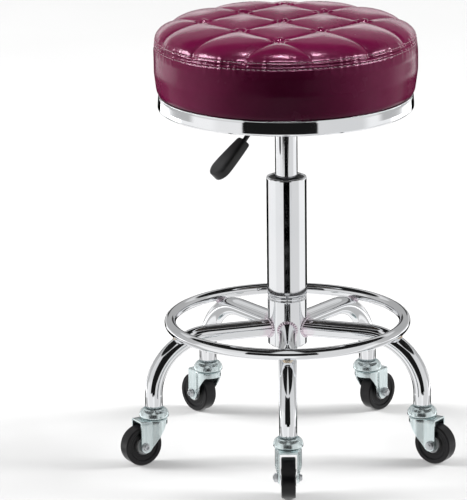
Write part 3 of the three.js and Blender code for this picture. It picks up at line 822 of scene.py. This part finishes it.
FORK_TAIL = 25 * MM
FRONT_RADIUS = 16.5 * MM
FORK_FLARE = (10 * MM, 1.5 * MM)  # where the sides leave the straight, and where they join the front
FRONT_LOW = 50.5 * MM
EAR_RADIUS = 7.7 * MM
EAR_CENTRE = (FORK_TAIL - EAR_RADIUS, 24.6 * MM)
SLANT_START = -9.5 * MM
SLANT_END = 10.95 * MM


def fork_height(x):
    """The lower edge, seen from the side: level at the front, slanting down, then round under the axle."""
    ear_x, ear_z = EAR_CENTRE
    if x <= SLANT_START:
        return FRONT_LOW
    if x <= SLANT_END:
        low = ear_z - sqrt(EAR_RADIUS**2 - (SLANT_END - ear_x) ** 2)
        return FRONT_LOW + (low - FRONT_LOW) * (x - SLANT_START) / (SLANT_END - SLANT_START)
    return ear_z - sqrt(max(EAR_RADIUS**2 - (x - ear_x) ** 2, 0))


def fork_plan():
    """(x, y, outward x, outward y) round the fork from one tail end to the other."""
    flare_x, join_x = FORK_FLARE
    join_y = sqrt(FRONT_RADIUS**2 - join_x**2)
    ear = [FORK_TAIL - EAR_RADIUS * (1 - cos(a)) for a in np.linspace(0, pi / 2, 12)]
    straight = ear + list(np.linspace(EAR_CENTRE[0], flare_x, 7))[1:]
    side = [(x, FORK_HALF, 0.0, 1.0) for x in straight[:-1]]
    slope = Vector((join_y - FORK_HALF, flare_x - join_x)).normalized()
    for share in np.linspace(0, 1, 8):
        x = flare_x + (join_x - flare_x) * share
        side.append((x, FORK_HALF + (join_y - FORK_HALF) * share, slope.x * min(share * 3, 1), slope.y))
    start = atan2(join_y, join_x)
    front = []
    for turn in np.linspace(start, 2 * pi - start, 41)[1:-1]:
        out_x, out_y = cos(turn), sin(turn)
        front.append((FRONT_RADIUS * out_x, FRONT_RADIUS * out_y, out_x, out_y))
    return side + front + [(x, -y, out_x, -out_y) for x, y, out_x, out_y in reversed(side)]


def fork_shape():
    """One pressing: rounded top edges, and a skirt that slants from the front to two ears for the axle."""
    thickness = 2 * MM
    corner = 2.0 * MM
    corner_steps, skirt_steps = 5, 8
    plan = fork_plan()
    outer, inner = [], []
    for x, y, out_x, out_y in plan:
        low = fork_height(x)
        for k in range(corner_steps + skirt_steps):
            turn = pi / 2 * min(k / (corner_steps - 1), 1)
            inset = corner * (1 - sin(turn))
            z = FORK_TOP - corner * (1 - cos(turn))
            if k >= corner_steps:
                z = FORK_TOP - corner + (low - FORK_TOP + corner) * (k - corner_steps + 1) / skirt_steps
            outer.append((x - out_x * inset, y - out_y * inset, z))
            inside = max(inset, thickness)
            inner.append((x - out_x * inside, y - out_y * inside, min(z, FORK_TOP - thickness)))
    depth = corner_steps + skirt_steps
    shift = len(outer)
    starts = [i * depth for i in range(len(plan))]
    rim = [*range(depth - 1), *(i + depth - 1 for i in starts), *reversed(range(starts[-1], shift - 1))]
    faces = sheet_faces(len(plan), depth) + [tuple(starts)]
    faces += [tuple(shift + v for v in reversed(face)) for face in faces]
    faces += [(here, after, shift + after, shift + here) for here, after in zip(rim, rim[1:] + rim[:1])]
    return outer + inner, faces


def mirrored(corners_mm):
    """Corners below the middle, followed by the same corners above it."""
    return corners_mm + [(across, -up, fillet) for across, up, fillet in reversed(corners_mm)]


def tyre_shape():
    side = -TYRE_HALF
    return turned(mirrored([
        (11.3, side + 0.8, 0.3), (13.2, side + 0.8, 0.5), (14.2, side + 1.8, 1.0),
        (18.4, side + 1.6, 1.0), (19.6, side + 0.2, 0.8), (23.9, side, 0.6),
        (WHEEL_RADIUS, side + 1.2, 0.8),
    ]), 96, steps=4)


def wheel_centre_shape():
    side = -TYRE_HALF
    corners = [(3.3, side - 0.8, 0.2), (10.2, side - 0.8, 0.6), (11, side + 0.6, 0.4)]
    return turned(mirrored(corners), 64, steps=4)


def bolt_shape():
    face = BOLT_FACE
    return turned([
        (0, -face - 2.2, 0), (1.5, -face - 2.2, 0.1), (2.0, -face - 4.2, 0.3), (3.6, -face - 4.0, 0.9),
        (4.3, -face - 1.4, 0.3), (5.4, -face - 1.2, 0.3), (5.4, -face, 0.2), (3, -face, 0),
        (3, face + 6, 0.5), (0, face + 6.3, 0),
    ], 40, closed=False, steps=3)


def nut_shape():
    face = BOLT_FACE
    hexagon = [(3.1, face + 1, 0), (5.4, face + 1, 0.2), (5.4, face + 4, 0.5), (4.5, face + 4.8, 0.3),
               (3.1, face + 4.8, 0)]
    washer = [(3.1, face, 0), (5.9, face, 0.3), (5.9, face + 0.9, 0.3), (3.1, face + 0.9, 0)]
    return merged(turned(hexagon, 6, steps=2), turned(washer, 40, steps=2))


def caster(number):
    here = caster_matrix(number)
    axle = here @ AXLE
    pieces = [
        ("cap", cap_shape(), here, ZINC, "base", "swivel_cap", "zinc_plate"),
        ("fork_plate", fork_shape(), here, ZINC, f"caster_{number}", "fork", "zinc_plate"),
        ("tread", tyre_shape(), axle, RUBBER, f"wheel_{number}", "tyre", "tyre_rubber"),
        ("wheel_centre", wheel_centre_shape(), axle, WHEEL_PLASTIC, f"wheel_{number}", "wheel_hub",
         "wheel_plastic"),
        ("axle_rivet", bolt_shape(), axle, STEEL, f"caster_{number}", "axle_bolt", "fastener_steel"),
        ("axle_lock_nut", nut_shape(), axle, STEEL, f"caster_{number}", "axle_nut", "fastener_steel"),
    ]
    for name, shape, matrix, material, body, node, slot in pieces:
        mesh_object(f"{name}_{number}", *moved(shape, matrix), material, body, [f"{node}_{number}"], slot, 35)


for caster_number in LEG_NUMBERS:
    caster(caster_number)


# ---- Welds, and a black disc of painted shade for the ring's vent hole ----


def bead(path, radius, phase):
    """A weld bead round a closed path, with the ripple of a hand-held torch."""
    radii = [radius * (1 + 0.16 * sin(24 * a + phase) + 0.12 * sin(5 * a + 2 * phase))
             for a in round_angles(len(path))]
    return swept(path, radii, 10, closed=True)


def hub_weld(number):
    """The bead follows the saddle where a leg's tube meets the hub."""
    _, out = foot_of(number)
    side = UP.cross(out)
    around = LEG_RADIUS + 0.4 * MM
    path = []
    for turn in round_angles(120):
        across, rise = around * sin(turn), around * cos(turn)
        reach = sqrt((HUB_RADIUS * MM) ** 2 - across**2) + 0.5 * MM
        path.append(COLUMN + out * reach + side * across + UP * (LEG_HEIGHT + rise))
    shape = bead(path, 1.5 * MM, number)
    mesh_object(f"hub_weld_{number}", *shape, WELD, "base", slot="tube_chrome", sharp_deg=80)


def ring_weld(number):
    """The bead goes round the spot where the foot ring rests on a leg's bend."""
    place, out = foot_of(number)
    centre = COLUMN + out * RING_RADIUS + UP * RING_Z
    down = (bend_of(number) - centre).normalized()
    along = UP.cross(out)
    across = down.cross(along)
    spot = centre + down * (RING_TUBE_RADIUS + 0.2 * MM)
    path = [spot + along * (6 * MM * cos(a)) + across * (5 * MM * sin(a)) for a in round_angles(72)]
    shape = bead(path, 1.5 * MM, 2 * number)
    material = WELD_STRAW if place.y < COLUMN.y + 20 * MM else WELD
    mesh_object(f"ring_weld_{number}", *shape, material, "base", slot="tube_chrome", sharp_deg=80)


def vent_hole():
    """A black disc with a burred rim on the inside of the ring at the back. It is painted shade that stands
    in for the dark inside of a drilled vent hole.
    """
    across = -38.7 * MM
    out = Vector((across, sqrt(RING_RADIUS**2 - across**2), 0)).normalized()
    rim = [(0, -0.1, 0), (1.1, -0.1, 0.1), (1.3, 0.25, 0.1), (1.8, 0.2, 0.2), (2.0, -0.6, 0), (0, -0.6, 0)]
    facing = (-out + UP * 0.25).normalized()
    centre = COLUMN + out * RING_RADIUS + UP * RING_Z + facing * RING_TUBE_RADIUS
    turn = facing.to_track_quat("Z", "Y").to_matrix().to_4x4()
    shape = moved(turned(rim, 32, closed=False, steps=3), Matrix.Translation(centre) @ turn)
    # The disc's black paint is painted shade: it stands in for the shadowed inside of the hole, which is not
    # cut.
    mesh_object("vent_hole", *shape, PAINT, "base", slot="tube_chrome")


for weld_number in LEG_NUMBERS:
    hub_weld(weld_number)
    ring_weld(weld_number)
# The ring's vent hole is a black disc of painted shade, not a real hole.
vent_hole()


# ---- Lever ----

LEVER_PLACE = UPRIGHT @ Matrix.Rotation(radians(-150), 4, "Z")
ROD_RADIUS = 3 * MM
LEVER_Z = 434.6
GRIP_START = Vector((60.5, 0, 404.8)) * MM
GRIP_END = Vector((102.5, 0, 365.5)) * MM
GRIP_ALONG = (GRIP_END - GRIP_START).normalized()
GRIP_TIP = 15  # how far, in millimetres, the paddle's rounded end reaches, and half its width


def lever_rod():
    """A bent rod with rounded ends: level over the valve, then down and out into the grip."""
    points = [Vector((x, 0, z)) * MM for x, z in ((33, LEVER_Z), (45, LEVER_Z), (47, 418), (60.5, 404.8))]
    path = [Vector((x, 0, LEVER_Z)) * MM for x in (-2, -1.4, 0, 10, 22)]
    for t in np.linspace(0, 1, 24):
        weights = ((1 - t) ** 3, 3 * t * (1 - t) ** 2, 3 * t**2 * (1 - t), t**3)
        path.append(sum((point * weight for point, weight in zip(points, weights)), Vector((0, 0, 0))))
    path += [GRIP_START + GRIP_ALONG * reach * MM for reach in (8, 15, 16)]
    radii = [ROD_RADIUS] * len(path)
    radii[0] = radii[-1] = 0.6 * ROD_RADIUS
    shape = moved(swept(path, radii, 28), LEVER_PLACE)
    mesh_object("lever_bar", *shape, PAINT, "lever", ["lever_rod"], "lever_steel")


def grip_stations():
    """(distance along, half width, half thickness) in millimetres, from the sleeve to the rounded end."""
    end = (GRIP_END - GRIP_START).length / MM
    round_start = end - GRIP_TIP
    stations = [(-1.2, 4.2, 3.6), (-1.2, 6.2, 5.0), (-0.9, 7.2, 5.6), (0, 8.0, 6.1), (1.2, 8.5, 6.35)]
    for share in np.linspace(0.06, 1, 18):
        stations.append((round_start * share, 8.5 + 6.5 * (1 - (1 - share) ** 1.4), 6.4))
    for turn in np.linspace(0, pi / 2, 14)[1:-1]:
        half = 6.4 - 0.8 * sin(turn) ** 4
        stations.append((round_start + GRIP_TIP * sin(turn), GRIP_TIP * cos(turn) ** 0.9, half))
    return stations + [(end - 0.05, 1.8, 4.4)]


def grip():
    """A moulded paddle: a sleeve round the rod that widens to a flat end, with its top face chamfered."""
    side = Vector((0, 1, 0))
    face = side.cross(GRIP_ALONG).normalized()
    if face.z < 0:
        face.negate()
    corners = 96
    stations = grip_stations()
    vertices = []
    for distance, width, half in stations:
        for turn in round_angles(corners):
            c, s = cos(turn), sin(turn)
            y = copysign(abs(c) ** 0.3, c) * width
            z = copysign(abs(s) ** 0.3, s) * half
            if z > 0:
                y -= copysign(min(1.6, 0.2 * width) * (z / half) ** 3, y)
            vertices.append(GRIP_START + GRIP_ALONG * (distance * MM) + side * (y * MM) + face * (z * MM))
    faces = grid_faces(len(stations), corners) + end_faces(len(stations), corners)
    shape = moved((vertices, faces), LEVER_PLACE)
    mesh_object("grip", *shape, PLASTIC, "lever", ["lever_grip"], "grip_plastic", 50)


lever_rod()
grip()


# ---- Pieces that keep their CAD shape ----


def give(material, *names):
    for name in names:
        mesh = frame["nodes"][name].data
        mesh.materials.clear()
        mesh.materials.append(material)


give(PLYWOOD, "seat_board")
give(PAINT, "seat_plate")
give(STEEL, *[f"plate_screw_{k}" for k in range(1, 5)])
give(STEEL, "lever_pivot_pin", "release_button", "piston_rod", "thrust_bearing", "retaining_clip")
give(STEEL, *[f"caster_stem_{k}" for k in LEG_NUMBERS])


# ---- Floor, lights and camera ----


def make_camera():
    distance, height = 4.5, 1.499
    heading_deg, pitch_deg, roll_deg = 0.848, 15.414, -0.630
    data = bpy.data.cameras.new("camera")
    data.sensor_fit = "VERTICAL"
    data.sensor_height = 36
    data.lens = 269.5
    data.clip_end = 50
    camera = added("camera", data)
    camera.matrix_world = (
        Matrix.Translation(COLUMN + Vector((0, -distance, height)))
        @ Matrix.Rotation(radians(heading_deg), 4, "Z")
        @ Matrix.Rotation(radians(90 - pitch_deg), 4, "X")
        @ Matrix.Rotation(radians(roll_deg), 4, "Z")
    )
    SCENE.camera = camera


def make_floor():
    """A pale floor that can only be seen from above."""
    look = Look("studio_floor", (0.38, 0.38, 0.38), 0.8, Emission_Strength=0.12, Specular_IOR_Level=0.1,
                Emission_Color=(1, 1, 1, 1))
    look.mottle(3, 2, (0.38, 0.38, 0.38), (0.39, 0.39, 0.39))
    underside = look.node("NewGeometry").outputs["Backfacing"]
    look.set(look.shader, "Alpha", look.maths("SUBTRACT", 1.0, underside))
    reach = 6.5
    mesh = bpy.data.meshes.new("floor")
    corners = [(-reach, -reach, 0), (reach, -reach, 0), (reach, reach, 0), (-reach, reach, 0)]
    mesh.from_pydata(corners, [], [(0, 1, 2, 3)])
    mesh.materials.append(look.material)
    floor = added("floor", mesh)
    floor.location.z = -0.4 * MM
    floor.visible_glossy = False
    floor.visible_diffuse = False


class Studio(Graph):
    """The world as brightness by direction: bearing 0 is in front of the stool and +90 at its right."""

    def __init__(self):
        world = bpy.data.worlds.new("studio")
        SCENE.world = world
        super().__init__(world)
        self.nodes.clear()
        direction = self.node("TexCoord").outputs["Generated"]
        x, y, self.rise = self.node("SeparateXYZ", Vector=direction).outputs
        self.bearing = self.maths("ARCTAN2", x, self.maths("MULTIPLY", y, -1.0))

    def ramp(self, value, low, high):
        """0 at low and 1 at high, eased."""
        return self.mapped(value, 0.0, 1.0, low, high, "SMOOTHSTEP")

    def window(self, value, start, end, edge):
        """1 between start and end, fading over edge on both sides."""
        rising = self.ramp(value, start - edge, start)
        return self.maths("MULTIPLY", rising, self.ramp(value, end + edge, end))

    def panel(self, bearings_deg, rises, edge_deg, edge):
        """1 on a panel. One bearing instead of two means that far to both sides of straight behind."""
        edge_turn = radians(edge_deg)
        if isinstance(bearings_deg, tuple):
            across = self.window(self.bearing, *(radians(b) for b in bearings_deg), edge_turn)
        else:
            start = radians(180 - bearings_deg)
            across = self.ramp(self.maths("ABSOLUTE", self.bearing), start - edge_turn, start)
        return self.maths("MULTIPLY", across, self.window(self.rise, *rises, edge))

    def mixed(self, amount, first, second):
        """first where amount is 0, second where it is 1."""
        rest = self.maths("SUBTRACT", 1.0, amount)
        return self.maths("ADD", self.maths("MULTIPLY", rest, first), self.maths("MULTIPLY", amount, second))

    def layered(self, strength, panels):
        """A brightness with panels laid over it in turn."""
        for *place, brightness in panels:
            strength = self.mixed(self.panel(*place), strength, brightness)
        return strength

    def shown(self, strength):
        return self.node("Background", Strength=strength, Color=(1, 1, 1, 1)).outputs[0]

    def chosen(self, ray, otherwise, when):
        mix = self.node("MixShader", Fac=ray)
        self.set(mix, 1, otherwise)
        self.set(mix, 2, when)
        return mix.outputs[0]


# Each panel's bearings and rises, the width of its soft edge in degrees and in rise, and its brightness.
REFLECTED_PANELS = (
    ((17, 70), (-1.2, 0.0), 12, 0.1, 0.72),
    ((-60, -17), (-1.2, 0.0), 12, 0.1, 0.85),
    (80, (0.03, 0.5), 12, 0.04, 0.42),
    (80, (0.66, 1.1), 12, 0.04, 0.01),
    ((20, 125), (0.6, 1.1), 8, 0.05, 0.01),
    ((-125, -20), (0.6, 1.1), 8, 0.05, 0.01),
    (12, (-0.02, 0.2), 4, 0.03, 0.05),
    ((98, 122), (-1.2, -0.33), 10, 0.02, 0.5),
    ((-122, -98), (-1.2, -0.33), 10, 0.02, 0.5),
    ((98, 122), (-0.16, 0.4), 10, 0.02, 0.5),
    ((-122, -98), (-0.16, 0.4), 10, 0.02, 0.5),
    ((-158, -112), (-0.232, -0.18), 6, 0.006, 2.4),
    ((112, 158), (-0.232, -0.18), 6, 0.006, 2.0),
    ((-38, 27), (-0.215, 0.5), 2, 0.03, 0.01),
    ((-17, 17), (-0.285, -0.2), 1.5, 0.008, 0.0),
    ((-38, 27), (-0.239, -0.2), 2, 0.003, 0.01),
    (50, (-0.45, -0.234), 2, 0.006, 0.0),
    (26, (-0.45, -0.12), 2, 0.03, 0.0),
)
SOFT_PANELS = (
    (55, (-1.2, 0.75), 12, 0.15, 0.2),
    ((-125, -70), (-0.6, 0.7), 8, 0.15, 3.6),
    ((70, 125), (-0.6, 0.7), 8, 0.15, 3.3),
    ((-70, 70), (-1.2, 0.75), 8, 0.15, 0.02),
)


def make_studio():
    """The lens sees white. Reflections see softboxes and dark cards. Soft light comes from both sides."""
    studio = Studio()
    below_and_above = studio.mixed(studio.ramp(studio.rise, -0.04, 0.03), 0.95, 0.72)
    reflected = studio.layered(below_and_above, REFLECTED_PANELS)
    soft = studio.layered(studio.mixed(studio.ramp(studio.rise, 0.5, 0.8), 1.0, 0.7), SOFT_PANELS)
    rays = studio.node("LightPath").outputs
    surface = studio.chosen(rays["Is Glossy Ray"], studio.shown(soft), studio.shown(reflected))
    surface = studio.chosen(rays["Is Camera Ray"], surface, studio.shown(1.0))
    studio.node("OutputWorld", Surface=surface)


# What each group of lights aims at, and the only pieces that it lights. With no piece named it lights all.
GROUPS = {
    "seat": ((0, 0, 0.54), ("cushion_cover", "stitches_upper", "stitches_lower")),
    "floor": ((0, 0, 0), ("floor",)),
    "all": ((0, 0, 0.3), ()),
}
# Each light's name, group, place, size and watts, and whether it lights surfaces and makes highlights.
LIGHTS = (
    ("seat_back", "seat", (0, 3.0, 1.1), (6.5, 0.7), 22.8708, False, True),
    ("seat_streak", "seat", (0.1, -1.9, 2.1), (1.7, 0.6), 224.3097, False, True),
    ("seat_top", "seat", (0, -0.2, 2.6), (0.4, 0.4), 60.3186, False, True),
    ("seat_left", "seat", (-2.3, -0.2, 1.7), (1.6, 1.0), 251.3274, False, True),
    ("seat_right", "seat", (2.3, -0.4, 1.7), (1.6, 1.0), 251.3274, False, True),
    ("seat_fill", "seat", (0, 0.1, 2.8), (1.2, 1.2), 15, True, False),
    ("floor_left", "floor", (-8.0, 0.6, 3.6), (2.6, 2.6), 1300, True, True),
    ("floor_right", "floor", (8.0, 0.6, 3.6), (2.6, 2.6), 1300, True, True),
    ("left", "all", (-2.0, 0.9, 1.3), (0.5, 0.9), 22, True, False),
    ("right", "all", (2.0, 0.9, 1.3), (0.5, 0.9), 16, True, False),
)


def add_lights():
    kept_to = {"all": None}
    for group in ("seat", "floor"):
        kept_to[group] = bpy.data.collections.new(f"{group}_only")
        for piece in GROUPS[group][1]:
            kept_to[group].objects.link(bpy.data.objects[piece])
    for name, group, place, size, watts, surfaces, highlights in LIGHTS:
        data = bpy.data.lights.new(name, "AREA")
        data.shape = "RECTANGLE"
        data.size, data.size_y = size
        data.energy = watts
        light = added(name, data)
        light.location = place
        light.rotation_euler = (Vector(GROUPS[group][0]) - light.location).to_track_quat("-Z", "Y").to_euler()
        light.visible_camera = False
        light.visible_diffuse = surfaces
        light.visible_glossy = highlights
        light.light_linking.receiver_collection = kept_to[group]


make_camera()
make_floor()
make_studio()
add_lights()
SCENE.view_settings.view_transform = "Standard"
